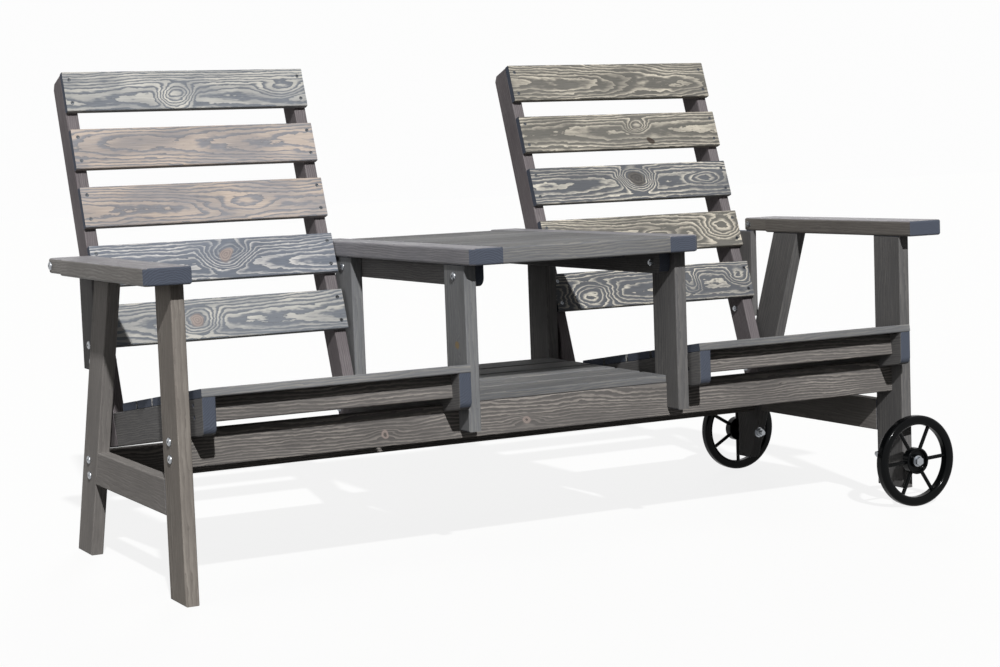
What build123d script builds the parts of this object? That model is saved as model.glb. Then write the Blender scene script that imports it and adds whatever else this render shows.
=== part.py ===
from build123d import *
import math
import os

# Garden bench with two slatted seats, a table between them, a deck below the table and two carrying wheels.
# Millimetres, +Z up. The pieces are laid out from a datum: X = 0 midway between the end legs, Y = 0 on the
# front legs' front face and growing towards the back, Z = 0 on the ground. At the end every piece is moved
# so that the origin is the middle of the footprint.

# Timber stock
BOARD_T = 28.0  # legs, rails, posts, beams, stiles
BOARD_W = 95.0  # legs, posts, armrests
RAIL_W = 74.0  # rails, beams and table edge boards
TOP_T = 36.0  # armrests and table top
SLAT_T = 17.0  # seat, back and deck boards
SLAT_W = 95.0
STILE_W = 66.0
BEARER_H = 48.0  # table and deck bearers, seat cross rails
EDGE_R = 3.0  # eased long edges
TOP_ROUND = 5.0  # edges of the armrests and the table top

# End frames and beams
LENGTH = 1800.0  # over the legs' outer faces
LEG_H = 633.0
REAR_FOOT_Y = 639.0  # rear leg's front edge at the ground
REAR_LEG_LEAN = 20.9  # degrees from upright, top towards the front
WHEEL_LEG_LIFT = 39.0  # ground to the underside of the two legs that carry wheels
SIDE_RAIL_Z = 168.0
FRONT_BEAM_Y = 36.0
FRONT_BEAM_Z = 267.0
REAR_BEAM_Z = 165.0

# Posts, table and deck
POST_X = 272.0  # middle of the bench to a post's outer face
FRONT_POST_CHEEK = 48.0  # post left standing in front of the front beam
REAR_POST_CHEEK = 33.0  # post left standing in front of the rear beam
POST_LAP = 56.0  # how far a post's cheek reaches down its beam
BEARER_FRONT_Y = 5.0
BEARER_NOSE_R = 20.0
BEARER_TAIL = 12.0  # table planks' overhang behind the bearers
BATTEN_FRONT_Y = 150.0
BATTEN_W = 70.0
BATTEN_T = 16.0
TABLE_FRONT_Y = -60.0
TABLE_PLANKS = 8
TABLE_PLANK_GAP = 2.0
TABLE_TAIL = 60.0  # edge boards past the last plank
TABLE_CORNER = 10.0  # cut on the edge boards' outer corners
TABLE_CLEAR = 3.0  # edge boards to the backs of the seats
DECK_END_CLEAR = 1.0
DECK_MIN_GAP = 8.0

# Seats and backs
SEAT_CLEAR = 9.0  # seat frame to leg and to post
SEAT_SLOPE = 8.5  # degrees, down towards the back
SEAT_OVERHANG = 82.0  # seat front ahead of the front beam
SEAT_NOTCH = 16.0  # seat rails let down over the front beam
RAIL_NOSE_R = 18.0
SEAT_SLAT_GAP = 10.0
CROSS_RAIL_SETBACK = 40.0
BACK_RECLINE = 19.7  # degrees from upright
STILE_REF_Z = 285.0  # height at which a stile is set against its rear leg
STILE_LEAD = 4.0  # stile's front edge ahead of the rear leg's, at that height
BACK_START = 190.0  # from that height to the lowest back slat, along the stile
BACK_SLATS = 5
BACK_PITCH = 138.0
STILE_BEVEL = 12.0

# Armrests
ARM_OVERHANG = 65.0  # past the leg's outer face
ARM_FRONT_Y = -43.0
ARM_CORNER = 7.0
ARM_END_LEN = 90.0
ARM_END_T = 33.0
ARM_BEARING = 34.0  # arm end block's reach over its cleat
CLEAT_T = 18.0
CLEAT_W = 95.0
CLEAT_Z = 415.0
CLEAT_SETBACK = 12.0  # cleat's front edge behind the stile's, at the cleat's foot

# Wheels and axles
WHEEL_R = 107.0
RIM_W = 27.0
RIM_DEPTH = 22.0
RIM_ROUND = 8.0
DRUM_R = 31.0
DRUM_W = 22.0
DRUM_ROUND = 2.2
CUP_R = 26.0  # hollow in the drum's outer face
CUP_DEPTH = 9.0
BOSS_R = 15.0
HUB_SUNK = 3.0  # hub's outer end below the drum's rim
SPOKES = 6
SPOKE_R = 4.5
FRONT_SPOKE_TURN = 3.0  # degrees, first spoke above the horizontal
REAR_SPOKE_TURN = 30.0
WHEEL_OFFSET = 27.5  # leg face to the wheel's middle plane
WHEEL_SEAT_CUT = 66.0  # cut off the rear leg's heel for its wheel, measured along the ground
AXLE_R = 6.0
AXLE_RUN_FIT = 0.05
WHEEL_PLAY = 0.25  # hub face to washer
AXLE_TAIL = 9.0
AXLE_HEAD_R = 10.5
AXLE_HEAD_H = 8.0
AXLE_NUT_H = 10.0
WASHER_R = 13.0
WASHER_T = 2.0
SPOT_FACE_R = 16.0

# Fasteners
FIT = 0.1  # radial clearance of a fixed fastener in its hole
BOLT_R = 4.0
BOLT_HEAD_R = 9.0
BOLT_HEAD_H = 4.5
BOLT_HEAD_ROUND = 4.0
BOLT_SOCKET_R = 2.9
BOLT_SOCKET_DEPTH = 2.6
NUT_R = 7.5
NUT_H = 6.5
BOLT_TAIL = 3.0  # thread past a nut
SEAT_BOLT_GRIP = 22.0  # seat bolt's hold in a leg or post
FRAME_BOLT_PITCH = 35.0
FRAME_BOLT_GRIP = 60.0  # bolt length inside a beam's end
BARREL_R = 5.0
BARREL_LEN = 20.0
BARREL_INSET = 50.0  # beam's end to the barrel nut
SCREW_HEAD_R = 4.2
SCREW_HEAD_H = 3.0
SCREW_SINK = 0.8  # head below the surface
SCREW_DRIVE_R = 2.2
SCREW_DRIVE_DEPTH = 2.0
SCREW_R = 2.2
SCREW_LEN = 40.0
SLAT_SCREW_PITCH = 56.0
LONG_SCREW_R = 3.0
LONG_SCREW_LEN = 120.0
LONG_SCREW_PITCH = 36.0
POST_SCREW_LEN = 55.0
CROSS_SCREW_LEN = 70.0
CROSS_SCREW_PITCH = 24.0
DOWEL_R = 5.0
DOWEL_LEN = 50.0
DOWEL_PITCH = 40.0
POST_DOWEL_LEN = 40.0
DECK_DOWEL_RISE = 12.0  # deck bearer's underside to its dowel
CLEAT_BOLT_RISE = 20.0  # cleat's foot to its lower bolt
CLEAT_BOLT_PITCH = 36.0
ARM_BOLT_INSET = 17.0  # arm's rear end to the bolt across it

# Levels and places that follow from those sizes
HALF = LENGTH / 2
LEG_IN = HALF - BOARD_T
POST_IN = POST_X - BOARD_T
BEARER_IN = POST_IN - BOARD_T
FRONT_BEAM_TOP = FRONT_BEAM_Z + RAIL_W
REAR_BEAM_TOP = REAR_BEAM_Z + RAIL_W
FRONT_BEAM_BACK = FRONT_BEAM_Y + BOARD_T
FRONT_POST_Y = FRONT_BEAM_Y - FRONT_POST_CHEEK
TOP_Z = LEG_H + TOP_T
SIDE_RAIL_TOP = SIDE_RAIL_Z + RAIL_W

LEAN = math.tan(math.radians(REAR_LEG_LEAN))
REAR_LEG_RUN = BOARD_W / math.cos(math.radians(REAR_LEG_LEAN))


def leg_front(z):
    """Y of the rear legs' front edge at height z."""
    return REAR_FOOT_Y - LEAN * z


REAR_BEAM_Y = leg_front(REAR_BEAM_Z + RAIL_W / 2) + REAR_LEG_RUN / 2 - BOARD_T / 2
REAR_POST_Y = REAR_BEAM_Y - REAR_POST_CHEEK

# Seat plane: a line down the slope through the notch on the front beam
SLOPE = math.radians(SEAT_SLOPE)
SEAT_ALONG = (math.cos(SLOPE), -math.sin(SLOPE))
SEAT_UP = (math.sin(SLOPE), math.cos(SLOPE))
RAIL_DROP = RAIL_W / math.cos(SLOPE)
SEAT_FRONT_Y = FRONT_BEAM_Y - SEAT_OVERHANG

# Back line: the stiles' front edge
RECLINE = math.radians(BACK_RECLINE)
BACK_ALONG = (math.sin(RECLINE), math.cos(RECLINE))
BACK_OUT = (math.cos(RECLINE), -math.sin(RECLINE))
BACK_BASE = (leg_front(STILE_REF_Z) - STILE_LEAD, STILE_REF_Z)
BACK_LEN = BACK_START + (BACK_SLATS - 1) * BACK_PITCH + SLAT_W

SEAT_OUT_X = LEG_IN - SEAT_CLEAR
SEAT_IN_X = POST_X + SEAT_CLEAR

AXLE_Z = WHEEL_R
AXLE_X = HALF - BOARD_T / 2
HUB_INSET = WHEEL_OFFSET - WASHER_T - WHEEL_PLAY
HUB_REACH = DRUM_W / 2 - HUB_SUNK
SPOT_DEPTH = SPOT_FACE_R * LEAN
WHEEL_SEAT_Y = REAR_FOOT_Y + REAR_LEG_RUN - WHEEL_SEAT_CUT
TABLE_EDGE_X = SEAT_IN_X - TABLE_CLEAR
PLANK_END_X = TABLE_EDGE_X - RAIL_W
TABLE_REAR_Y = TABLE_FRONT_Y + TABLE_PLANKS * (SLAT_W + TABLE_PLANK_GAP) - TABLE_PLANK_GAP

nodes = {}
holes = []


def keep(node, *solids):
    """Adds solids to a named piece or group of like pieces."""
    nodes.setdefault(node, []).extend(solids)


def along(point, *moves):
    """A (y, z) point shifted by (distance, direction) pairs."""
    y, z = point
    for distance, direction in moves:
        y += distance * direction[0]
        z += distance * direction[1]
    return (y, z)


def meet(p, d, q, e):
    """Where the line through p along d meets the line through q along e."""
    cross = d[0] * e[1] - d[1] * e[0]
    run = ((q[0] - p[0]) * e[1] - (q[1] - p[1]) * e[0]) / cross
    return along(p, (run, d))


def span(side, a, b):
    """Low and high X of a stretch a to b on one side of the bench."""
    return tuple(sorted((side * a, side * b)))


def middle(a, b):
    return (a + b) / 2


# Boards

def plate(plane, outline, thickness, rounds=(), edge=EDGE_R):
    """A sawn board of any outline, with named corners rounded and both faces' edges eased."""
    sketch = Polygon(*outline, align=None)
    for corner, radius in rounds:
        sketch = fillet(sketch.vertices().sort_by_distance(Vector(*corner))[:1], radius)
    board = extrude(plane * sketch, thickness, dir=plane.z_dir)
    rim = board.edges() - board.edges().filter_by(Axis((0, 0, 0), plane.z_dir))
    return fillet(rim, edge).solid()


def side_board(x, outline, thickness=BOARD_T, rounds=()):
    """A board that stands in a YZ plane, its outline given as (y, z) points."""
    return plate(Plane.YZ.offset(x[0]), outline, thickness, rounds)


def flat_board(z, outline, thickness, edge=EDGE_R):
    """A board that lies flat, its outline given as (x, y) points."""
    return plate(Plane.XY.offset(z), outline, thickness, edge=edge)


def cross_board(x, centre, width, thickness, along_width=(1.0, 0.0), edge=EDGE_R):
    """A board that runs along X, with long edges eased and square ends."""
    plane = Plane(origin=(x[0], *centre), x_dir=(0, *along_width), z_dir=(1, 0, 0))
    return extrude(plane * RectangleRounded(width, thickness, edge), x[1] - x[0]).solid()


def box_between(low, high):
    size = [b - a for a, b in zip(low, high)]
    return Pos(*low) * Box(*size, align=(Align.MIN, Align.MIN, Align.MIN))


def rectangle(a, b):
    """Corner points of an upright rectangle between two opposite corners."""
    return [(a[0], a[1]), (b[0], a[1]), (b[0], b[1]), (a[0], b[1])]


# Fasteners, each built along +Z from the surface that it enters, and the holes that hold them

def place(start, direction):
    return Plane(origin=start, z_dir=direction)


def rod(radius, length, start=0.0):
    return Pos(0, 0, start) * Cylinder(radius, length, align=(Align.CENTER, Align.CENTER, Align.MIN))


def hexagon(radius, height, start=0.0):
    return Pos(0, 0, start) * extrude(RegularPolygon(radius, 6), height)


def drill(at, radius, length, start=0.0):
    holes.append((at * rod(radius + FIT, length, start)).solid())


def dowel(start, direction, length=DOWEL_LEN):
    """A plain dowel that runs half its length either side of a joint face."""
    at = place(start, direction)
    drill(at, DOWEL_R, length, -length / 2)
    keep("dowels", (at * rod(DOWEL_R, length, -length / 2)).solid())


def dome_bolt(node, start, direction, length):
    """A bolt with a low domed head that stands on the surface, with a hexagon socket in it."""
    at = place(start, direction)
    head = rod(BOLT_HEAD_R, BOLT_HEAD_H, -BOLT_HEAD_H)
    head = fillet(head.edges().sort_by(Axis.Z)[:1], BOLT_HEAD_ROUND)
    head -= hexagon(BOLT_SOCKET_R, BOLT_SOCKET_DEPTH, -BOLT_HEAD_H)
    drill(at, BOLT_R, length)
    keep(node, (at * (head + rod(BOLT_R, length))).solid())


def nut(node, start, direction):
    """A hexagon nut that stands on the surface it tightens against."""
    blank = hexagon(NUT_R, NUT_H) - rod(BOLT_R + FIT, NUT_H)
    keep(node, (place(start, direction) * blank).solid())


def through_bolt(node, start, direction, grip):
    """A domed bolt through a stack of boards, with its nut on the far face."""
    dome_bolt(node, start, direction, grip + NUT_H + BOLT_TAIL)
    far = Vector(*start) + Vector(*direction) * grip
    nut("hex_nuts", tuple(far), direction)


def screw_body(radius, length, grow=0.0):
    low_end = (Align.CENTER, Align.CENTER, Align.MIN)
    head = Pos(0, 0, SCREW_SINK) * Cone(SCREW_HEAD_R + grow, radius + grow, SCREW_HEAD_H, align=low_end)
    return head + rod(radius + grow, length - SCREW_SINK, SCREW_SINK)


def screw(node, start, direction, length=SCREW_LEN, radius=SCREW_R):
    """A countersunk wood screw, let in a little below the surface that it enters, with a drive recess."""
    at = place(start, direction)
    hole = screw_body(radius, length, FIT) + rod(SCREW_HEAD_R + FIT, SCREW_SINK)
    holes.append((at * hole).solid())
    recess = hexagon(SCREW_DRIVE_R, SCREW_DRIVE_DEPTH, SCREW_SINK)
    keep(node, (at * (screw_body(radius, length) - recess)).solid())


# End frames

def front_leg(side, foot_z):
    x = span(side, LEG_IN, HALF)
    return side_board(x, rectangle((0.0, foot_z), (BOARD_W, LEG_H)))


def rear_leg(side, foot_z):
    x = span(side, LEG_IN, HALF)
    outline = [
        (leg_front(foot_z), foot_z),
        (leg_front(foot_z) + REAR_LEG_RUN, foot_z),
        (leg_front(LEG_H) + REAR_LEG_RUN, LEG_H),
        (leg_front(LEG_H), LEG_H),
    ]
    return side_board(x, outline)


def wheel_rear_leg():
    """The rear leg on the wheel side: its foot is cut upright to seat the wheel, with a flat for the nut."""
    x = span(1, LEG_IN, HALF)
    leg = rear_leg(1, WHEEL_LEG_LIFT)
    heel = box_between((x[0], WHEEL_SEAT_Y, 0.0), (x[1], REAR_FOOT_Y + REAR_LEG_RUN, LEG_H / 2))
    nut_face = place((AXLE_X, leg_front(AXLE_Z), AXLE_Z), (0, 1, 0))
    spot = nut_face * rod(SPOT_FACE_R, 2 * SPOT_DEPTH, -SPOT_DEPTH)
    return (leg - heel - spot).solid()


keep("left_front_leg", front_leg(-1, 0.0))
keep("left_rear_leg", rear_leg(-1, 0.0))
keep("right_front_leg", front_leg(1, WHEEL_LEG_LIFT))
keep("right_rear_leg", wheel_rear_leg())

for side, name in ((-1, "left"), (1, "right")):
    rail_x = span(side, LEG_IN, HALF)
    rail_outline = [
        (BOARD_W, SIDE_RAIL_Z),
        (leg_front(SIDE_RAIL_Z), SIDE_RAIL_Z),
        (leg_front(SIDE_RAIL_TOP), SIDE_RAIL_TOP),
        (BOARD_W, SIDE_RAIL_TOP),
    ]
    keep(f"{name}_side_rail", side_board(rail_x, rail_outline))
    leg_x = middle(*rail_x)
    square_to_leg = (0, math.cos(math.radians(REAR_LEG_LEAN)), math.sin(math.radians(REAR_LEG_LEAN)))
    for step in (-0.5, 0.5):
        z = SIDE_RAIL_Z + RAIL_W / 2 + step * DOWEL_PITCH
        dowel((leg_x, BOARD_W, z), (0, 1, 0))
        dowel((leg_x, leg_front(z), z), square_to_leg)
        dowel((leg_x, BOARD_W / 2 + step * DOWEL_PITCH, LEG_H), (0, 0, 1))
        dowel((leg_x, leg_front(LEG_H) + REAR_LEG_RUN / 2 + step * DOWEL_PITCH, LEG_H), (0, 0, 1))

# Long beams, bolted end-on through the legs into barrel nuts

BEAMS = {
    "front_beam": (FRONT_BEAM_Y + BOARD_T / 2, FRONT_BEAM_Z + RAIL_W / 2),
    "rear_beam": (REAR_BEAM_Y + BOARD_T / 2, REAR_BEAM_Z + RAIL_W / 2),
}
for node, (beam_y, beam_z) in BEAMS.items():
    keep(node, cross_board((-LEG_IN, LEG_IN), (beam_y, beam_z), BOARD_T, RAIL_W))
    for side in (-1, 1):
        for step in (-0.5, 0.5):
            z = beam_z + step * FRAME_BOLT_PITCH
            dome_bolt("frame_bolts", (side * HALF, beam_y, z), (-side, 0, 0), BOARD_T + FRAME_BOLT_GRIP)
            barrel_at = place((side * (LEG_IN - BARREL_INSET), beam_y, z), (0, 1, 0))
            cross_hole = place((side * LEG_IN, beam_y, z), (-side, 0, 0)) * rod(BOLT_R + FIT, FRAME_BOLT_GRIP)
            drill(barrel_at, BARREL_R, BARREL_LEN, -BARREL_LEN / 2)
            keep("barrel_nuts", (barrel_at * rod(BARREL_R, BARREL_LEN, -BARREL_LEN / 2) - cross_hole).solid())

# Posts, notched over the beams

for side, name in ((-1, "left"), (1, "right")):
    post_x = span(side, POST_IN, POST_X)
    mid_x = middle(*post_x)
    posts = {
        "front": (FRONT_POST_Y, FRONT_BEAM_Y, FRONT_BEAM_TOP),
        "rear": (REAR_POST_Y, REAR_BEAM_Y, REAR_BEAM_TOP),
    }
    for row, (post_y, beam_y, beam_top) in posts.items():
        foot_z = beam_top - POST_LAP
        post = side_board(post_x, rectangle((post_y, foot_z), (post_y + BOARD_W, LEG_H)))
        notch = box_between((post_x[0], beam_y, foot_z), (post_x[1], post_y + BOARD_W, beam_top))
        keep(f"{name}_{row}_post", (post - notch).solid())
        mid_y = post_y + BOARD_W / 2
        bolt_start = (side * POST_X, mid_y, LEG_H - BEARER_H / 2)
        through_bolt("post_bolts", bolt_start, (-side, 0, 0), 2 * BOARD_T)
        for step in (-0.5, 0.5):
            dowel((mid_x, mid_y + step * DOWEL_PITCH, LEG_H), (0, 0, 1), POST_DOWEL_LEN)
            screw_z = beam_top - POST_LAP / 2 + step * FRAME_BOLT_PITCH
            screw("post_screws", (mid_x, beam_y + BOARD_T, screw_z), (0, -1, 0), POST_SCREW_LEN)

# Table

for side, name in ((-1, "left"), (1, "right")):
    bearer_x = span(side, BEARER_IN, POST_IN)
    bearer_z = LEG_H - BEARER_H
    bearer_rear = TABLE_REAR_Y - BEARER_TAIL
    front_foot = (BEARER_FRONT_Y, bearer_z)
    bearer_outline = rectangle(front_foot, (bearer_rear, LEG_H))
    keep("table_bearers", side_board(bearer_x, bearer_outline, rounds=[(front_foot, BEARER_NOSE_R)]))

    batten_x = span(side, BEARER_IN - BATTEN_W, BEARER_IN)
    batten_outline = rectangle((batten_x[0], BATTEN_FRONT_Y), (batten_x[1], bearer_rear))
    keep("table_battens", flat_board(LEG_H - BATTEN_T, batten_outline, BATTEN_T))

    edge_outline = [
        (side * PLANK_END_X, TABLE_FRONT_Y),
        (side * (TABLE_EDGE_X - TABLE_CORNER), TABLE_FRONT_Y),
        (side * TABLE_EDGE_X, TABLE_FRONT_Y + TABLE_CORNER),
        (side * TABLE_EDGE_X, TABLE_REAR_Y + TABLE_TAIL),
        (side * PLANK_END_X, TABLE_REAR_Y + TABLE_TAIL),
    ]
    keep(f"{name}_table_edge_board", flat_board(LEG_H, edge_outline, TOP_T, TOP_ROUND))

for index in range(TABLE_PLANKS):
    plank_y = TABLE_FRONT_Y + index * (SLAT_W + TABLE_PLANK_GAP) + SLAT_W / 2
    plank_centre = (plank_y, LEG_H + TOP_T / 2)
    plank_x = (-PLANK_END_X, PLANK_END_X)
    keep("table_planks", cross_board(plank_x, plank_centre, SLAT_W, TOP_T, edge=TOP_ROUND))
    for side in (-1, 1):
        dowel((side * PLANK_END_X, *plank_centre), (side, 0, 0), POST_DOWEL_LEN)
        screw_x = side * middle(PLANK_END_X, BEARER_IN - BATTEN_W)
        for step in (-0.5, 0.5):
            screw_y = plank_y + step * SLAT_SCREW_PITCH
            if BATTEN_FRONT_Y + SCREW_HEAD_R < screw_y < TABLE_REAR_Y - BEARER_TAIL - SCREW_HEAD_R:
                screw("table_and_deck_screws", (screw_x, screw_y, LEG_H - BATTEN_T), (0, 0, 1))

# Deck below the table

for side in (-1, 1):
    bearer_x = span(side, BEARER_IN, POST_IN)
    low = (FRONT_BEAM_BACK, FRONT_BEAM_TOP - BEARER_H)
    keep("deck_bearers", side_board(bearer_x, rectangle(low, (REAR_POST_Y + BOARD_W, FRONT_BEAM_TOP))))
    bolt_start = (side * POST_X, REAR_POST_Y + BOARD_W / 2, FRONT_BEAM_TOP - BEARER_H / 2)
    through_bolt("post_bolts", bolt_start, (-side, 0, 0), 2 * BOARD_T)
    dowel((middle(*bearer_x), FRONT_BEAM_BACK, low[1] + DECK_DOWEL_RISE), (0, 1, 0), POST_DOWEL_LEN)

DECK_DEPTH = REAR_POST_Y - FRONT_BEAM_Y
DECK_COUNT = int((DECK_DEPTH + DECK_MIN_GAP) / (SLAT_W + DECK_MIN_GAP))
DECK_PITCH = (DECK_DEPTH - SLAT_W) / (DECK_COUNT - 1)
DECK_END_X = POST_IN - DECK_END_CLEAR
for index in range(DECK_COUNT):
    deck_y = FRONT_BEAM_Y + SLAT_W / 2 + index * DECK_PITCH
    deck_centre = (deck_y, FRONT_BEAM_TOP + SLAT_T / 2)
    keep("deck_boards", cross_board((-DECK_END_X, DECK_END_X), deck_centre, SLAT_W, SLAT_T))
    for side in (-1, 1):
        for step in (-0.5, 0.5):
            screw_y = max(deck_y + step * SLAT_SCREW_PITCH, FRONT_BEAM_BACK + 2 * SCREW_HEAD_R)
            screw_start = (side * middle(BEARER_IN, POST_IN), screw_y, FRONT_BEAM_TOP + SLAT_T)
            screw("table_and_deck_screws", screw_start, (0, 0, -1))

# Seats with reclined backs

RAIL_FOOT = (FRONT_BEAM_Y + BOARD_T / 2, FRONT_BEAM_TOP - SEAT_NOTCH)
RAIL_HEAD = (RAIL_FOOT[0], RAIL_FOOT[1] + RAIL_DROP)
STILE_BACK = along(BACK_BASE, (STILE_W, BACK_OUT))
UPRIGHT = (0.0, 1.0)
SEAT_FRONT = (SEAT_FRONT_Y, 0.0)
RAIL_OUTLINE = [
    meet(SEAT_FRONT, UPRIGHT, RAIL_FOOT, SEAT_ALONG),
    meet(BACK_BASE, BACK_ALONG, RAIL_FOOT, SEAT_ALONG),
    meet(BACK_BASE, BACK_ALONG, RAIL_HEAD, SEAT_ALONG),
    meet(SEAT_FRONT, UPRIGHT, RAIL_HEAD, SEAT_ALONG),
]
STILE_OUTLINE = [
    RAIL_OUTLINE[1],
    meet(STILE_BACK, BACK_ALONG, RAIL_FOOT, SEAT_ALONG),
    along(BACK_BASE, (STILE_W, BACK_OUT), (BACK_LEN - STILE_BEVEL, BACK_ALONG)),
    along(BACK_BASE, (STILE_W - STILE_BEVEL, BACK_OUT), (BACK_LEN, BACK_ALONG)),
    along(BACK_BASE, (BACK_LEN, BACK_ALONG)),
]
SEAT_ORIGIN = RAIL_OUTLINE[3]
SEAT_DEPTH = math.dist(RAIL_OUTLINE[2], RAIL_OUTLINE[3])
SEAT_SLAT_COUNT = int((SEAT_DEPTH + SEAT_SLAT_GAP) / (SLAT_W + SEAT_SLAT_GAP))


def on_stile(z):
    """Y of the stiles' front edge at height z."""
    return meet(BACK_BASE, BACK_ALONG, (0.0, z), (1.0, 0.0))[0]


STILE_RUN = STILE_W / math.cos(RECLINE)
RAIL_MIDDLE = along(RAIL_FOOT, (RAIL_W / 2, SEAT_UP))
SEAT_BOLT_Y = middle(max(REAR_POST_Y, BACK_BASE[0]), BACK_BASE[0] + STILE_RUN)
SEAT_BOLT_Z = meet((SEAT_BOLT_Y, 0.0), UPRIGHT, RAIL_MIDDLE, SEAT_ALONG)[1]
CLEAT_FRONT_Y = on_stile(CLEAT_Z) + CLEAT_SETBACK
ARM_REAR_Y = CLEAT_FRONT_Y + ARM_BEARING
ARM_SEAM_Y = ARM_REAR_Y - ARM_END_LEN


def seat_side_frame(name, x, towards_wall):
    """One seat rail and the stile behind it, bolted across a spacer to the leg or post beside it."""
    low, high = x
    mid_x = middle(low, high)
    rail = side_board(x, RAIL_OUTLINE, rounds=[(RAIL_OUTLINE[0], RAIL_NOSE_R)])
    saddle = box_between((low, FRONT_BEAM_Y, FRONT_BEAM_Z), (high, FRONT_BEAM_BACK, FRONT_BEAM_TOP))
    keep(f"{name}_seat_rails", (rail - saddle).solid())
    keep(f"{name}_back_stiles", side_board(x, STILE_OUTLINE))
    for step in (-0.5, 0.5):
        line = along(RAIL_MIDDLE, (step * LONG_SCREW_PITCH, SEAT_UP))
        entry = meet(STILE_BACK, BACK_ALONG, line, SEAT_ALONG)
        into_rail = (0, -SEAT_ALONG[0], -SEAT_ALONG[1])
        screw("seat_frame_screws", (mid_x, *entry), into_rail, LONG_SCREW_LEN, LONG_SCREW_R)
    open_face, wall_face = (low, high) if towards_wall > 0 else (high, low)
    bolt_length = BOARD_T + SEAT_CLEAR + SEAT_BOLT_GRIP
    dome_bolt("seat_bolts", (open_face, SEAT_BOLT_Y, SEAT_BOLT_Z), (towards_wall, 0, 0), bolt_length)
    spacer = rod(WASHER_R, SEAT_CLEAR) - rod(BOLT_R + FIT, SEAT_CLEAR)
    spacer_at = place((wall_face, SEAT_BOLT_Y, SEAT_BOLT_Z), (towards_wall, 0, 0))
    keep("seat_spacers", (spacer_at * spacer).solid())


def seat(side, name):
    """A slatted seat and back between an end frame and the table posts."""
    x = span(side, SEAT_IN_X, SEAT_OUT_X)
    outer_x = span(side, SEAT_OUT_X - BOARD_T, SEAT_OUT_X)
    inner_x = span(side, SEAT_IN_X, SEAT_IN_X + BOARD_T)
    seat_side_frame(name, outer_x, side)
    seat_side_frame(name, inner_x, -side)
    rail_mids = [middle(*outer_x), middle(*inner_x)]

    cross_x = span(side, SEAT_IN_X + BOARD_T, SEAT_OUT_X - BOARD_T)
    cross_centre = along(
        SEAT_ORIGIN, (CROSS_RAIL_SETBACK + BOARD_T / 2, SEAT_ALONG), (-BEARER_H / 2, SEAT_UP)
    )
    keep("seat_cross_rails", cross_board(cross_x, cross_centre, BOARD_T, BEARER_H, SEAT_ALONG))
    for end_x, inward in ((x[0], 1), (x[1], -1)):
        for step in (-0.5, 0.5):
            y, z = along(cross_centre, (step * CROSS_SCREW_PITCH, SEAT_UP))
            screw("seat_frame_screws", (end_x, y, z), (inward, 0, 0), CROSS_SCREW_LEN)

    for index in range(SEAT_SLAT_COUNT):
        run = index * (SLAT_W + SEAT_SLAT_GAP) + SLAT_W / 2
        centre = along(SEAT_ORIGIN, (run, SEAT_ALONG), (SLAT_T / 2, SEAT_UP))
        keep(f"{name}_seat_slats", cross_board(x, centre, SLAT_W, SLAT_T, SEAT_ALONG))
        for mid_x in rail_mids:
            for step in (-0.5, 0.5):
                entry = along(centre, (step * SLAT_SCREW_PITCH, SEAT_ALONG), (SLAT_T / 2, SEAT_UP))
                screw("seat_slat_screws", (mid_x, *entry), (0, -SEAT_UP[0], -SEAT_UP[1]))

    for index in range(BACK_SLATS):
        run = BACK_LEN - SLAT_W / 2 - index * BACK_PITCH
        centre = along(BACK_BASE, (run, BACK_ALONG), (-SLAT_T / 2, BACK_OUT))
        keep(f"{name}_back_slat_{index + 1}", cross_board(x, centre, SLAT_W, SLAT_T, BACK_ALONG))
        for mid_x in rail_mids:
            for step in (-0.5, 0.5):
                entry = along(centre, (step * SLAT_SCREW_PITCH, BACK_ALONG), (-SLAT_T / 2, BACK_OUT))
                screw("back_slat_screws", (mid_x, *entry), (0, *BACK_OUT))


for side, name in ((-1, "left"), (1, "right")):
    seat(side, name)

# Armrests, each with an end block borne by a cleat on the outer stile

for side, name in ((-1, "left"), (1, "right")):
    arm_out = HALF + ARM_OVERHANG
    arm_in = arm_out - BOARD_W
    arm_outline = [
        (side * arm_in, ARM_FRONT_Y),
        (side * (arm_out - ARM_CORNER), ARM_FRONT_Y),
        (side * arm_out, ARM_FRONT_Y + ARM_CORNER),
        (side * arm_out, ARM_SEAM_Y),
        (side * arm_in, ARM_SEAM_Y),
    ]
    keep(f"{name}_armrest", flat_board(LEG_H, arm_outline, TOP_T, TOP_ROUND))
    end_outline = [
        (side * arm_in, ARM_SEAM_Y),
        (side * arm_out, ARM_SEAM_Y),
        (side * arm_out, ARM_REAR_Y - ARM_CORNER),
        (side * (arm_out - ARM_CORNER), ARM_REAR_Y),
        (side * arm_in, ARM_REAR_Y),
    ]
    keep("arm_end_blocks", flat_board(TOP_Z - ARM_END_T, end_outline, ARM_END_T, TOP_ROUND))
    block_z = TOP_Z - ARM_END_T / 2
    through_bolt("arm_end_bolts", (side * arm_out, ARM_REAR_Y - ARM_BOLT_INSET, block_z), (-side, 0, 0), BOARD_W)
    for step in (-0.5, 0.5):
        dowel_x = side * middle(arm_in, arm_out) + step * DOWEL_PITCH
        dowel((dowel_x, ARM_SEAM_Y, block_z), (0, 1, 0), POST_DOWEL_LEN)

    cleat_x = span(side, SEAT_OUT_X, SEAT_OUT_X + CLEAT_T)
    cleat_outline = rectangle((CLEAT_FRONT_Y, CLEAT_Z), (CLEAT_FRONT_Y + CLEAT_W, TOP_Z - ARM_END_T))
    keep("arm_cleats", side_board(cleat_x, cleat_outline, CLEAT_T))
    for step in (0, 1):
        z = CLEAT_Z + CLEAT_BOLT_RISE + step * CLEAT_BOLT_PITCH
        y = middle(max(CLEAT_FRONT_Y, on_stile(z)), on_stile(z) + STILE_RUN)
        through_bolt("cleat_bolts", (side * (SEAT_OUT_X + CLEAT_T), y, z), (-side, 0, 0), CLEAT_T + BOARD_T)

# Wheels on axle bolts through the right-hand legs

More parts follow.
